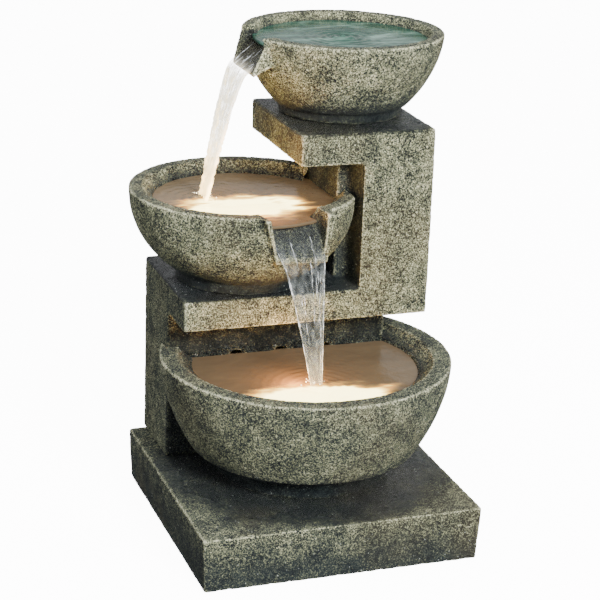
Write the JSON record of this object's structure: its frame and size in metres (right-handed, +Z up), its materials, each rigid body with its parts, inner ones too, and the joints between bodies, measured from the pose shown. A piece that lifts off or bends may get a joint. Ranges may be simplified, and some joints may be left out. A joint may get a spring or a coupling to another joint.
{
  "type": "tiered water fountain",
  "caption": "Floor fountain with stacked stone bowls on an offset tower; water spills from bowl to bowl and a pump in the tower's foot lifts it again.",
  "frame": {"origin": "centre of the square base, on the face it stands on", "axes": "+Z up, -Y towards the viewer in front of the lower basin, +X towards the column side"},
  "size_m": [0.4718, 0.4806, 0.711],
  "materials": {
    "cast_stone": "hand-stained cast stone, pitted, matt, dark where wet",
    "door_resin": "moulded resin tinted like the stone",
    "panel_plastic": "black moulded plastic",
    "pump_plastic": "black moulded plastic, satin",
    "impeller_plastic": "blue moulded plastic",
    "shaft_ceramic": "polished white ceramic",
    "black_rubber": "matt black rubber",
    "hose_vinyl": "flexible translucent vinyl",
    "fitting_brass": "turned brass, dulled by water",
    "stainless_steel": "stainless steel, satin",
    "lamp_plastic": "black moulded plastic, fine grain",
    "lamp_glass": "clear glass, warm lit",
    "cable_plastic": "black flexible plastic"
  },
  "bodies": {
    "fountain": {"base_plinth": "cast_stone", "pump_housing": "cast_stone", "middle_slab": "cast_stone", "column": "cast_stone", "upper_slab": "cast_stone", "lower_bowl": "cast_stone", "middle_bowl": "cast_stone", "top_bowl": "cast_stone", "lower_foot_ring": "cast_stone", "middle_foot_ring": "cast_stone", "top_foot_ring": "cast_stone", "base_panel": "panel_plastic", "pump_motor_housing": "pump_plastic", "pump_volute": "pump_plastic", "impeller_shaft": "shaft_ceramic", "door_gasket": "black_rubber", "lower_lamp_gasket": "black_rubber", "middle_lamp_gasket": "black_rubber", "inlet_washer": "black_rubber", "suction_cups": "black_rubber", "middle_lead_grommet": "black_rubber", "riser_hose": "hose_vinyl", "inlet_fitting": "fitting_brass", "inlet_nut": "fitting_brass", "base_panel_screws": "stainless_steel", "hose_clamps": "stainless_steel", "lower_lamp_housing": "lamp_plastic", "middle_lamp_housing": "lamp_plastic", "lower_lamp_bulb": "lamp_glass", "middle_lamp_bulb": "lamp_glass", "cable_gland": "cable_plastic", "junction_block": "cable_plastic", "pump_lead": "cable_plastic", "supply_lead": "cable_plastic", "lower_lamp_lead": "cable_plastic", "middle_lamp_lead": "cable_plastic"},
    "strainer": {"pump_strainer": "pump_plastic"},
    "dial": {"flow_dial": "impeller_plastic"},
    "rotor": {"impeller": "impeller_plastic"},
    "door": {"rear_door": "door_resin", "door_screws": "stainless_steel"},
    "drain": {"drain_plug": "black_rubber"},
    "lower_light_cap": {"lower_lamp_cap": "lamp_plastic", "lower_lamp_lens": "lamp_glass"},
    "middle_light_cap": {"middle_lamp_cap": "lamp_plastic", "middle_lamp_lens": "lamp_glass"}
  },
  "joints": [
    {"name": "strainer_pull", "type": "slide", "parent": "fountain", "child": "strainer", "axis": [-1, 0, 0], "range_m": [0, 0.02]},
    {"name": "flow_dial_turn", "type": "hinge", "parent": "strainer", "child": "dial", "pos_m": [0.058, 0.15, 0.124], "axis": [-1, 0, 0], "range_deg": [0, 90]},
    {"name": "impeller_spin", "type": "hinge", "parent": "fountain", "child": "rotor", "pos_m": [0.11, 0.15, 0.124], "axis": [1, 0, 0], "continuous": true},
    {"name": "rear_door_pull", "type": "slide", "parent": "fountain", "child": "door", "axis": [0, 1, 0], "range_m": [0, 0.08]},
    {"name": "drain_plug_pull", "type": "slide", "parent": "fountain", "child": "drain", "axis": [0, 1, 0], "range_m": [0, 0.03]},
    {"name": "lower_lamp_cap_lift", "type": "slide", "parent": "fountain", "child": "lower_light_cap", "axis": [0, 0, 1], "range_m": [0, 0.03]},
    {"name": "middle_lamp_cap_lift", "type": "slide", "parent": "fountain", "child": "middle_light_cap", "axis": [0, 0, 1], "range_m": [0, 0.03]}
  ]
}
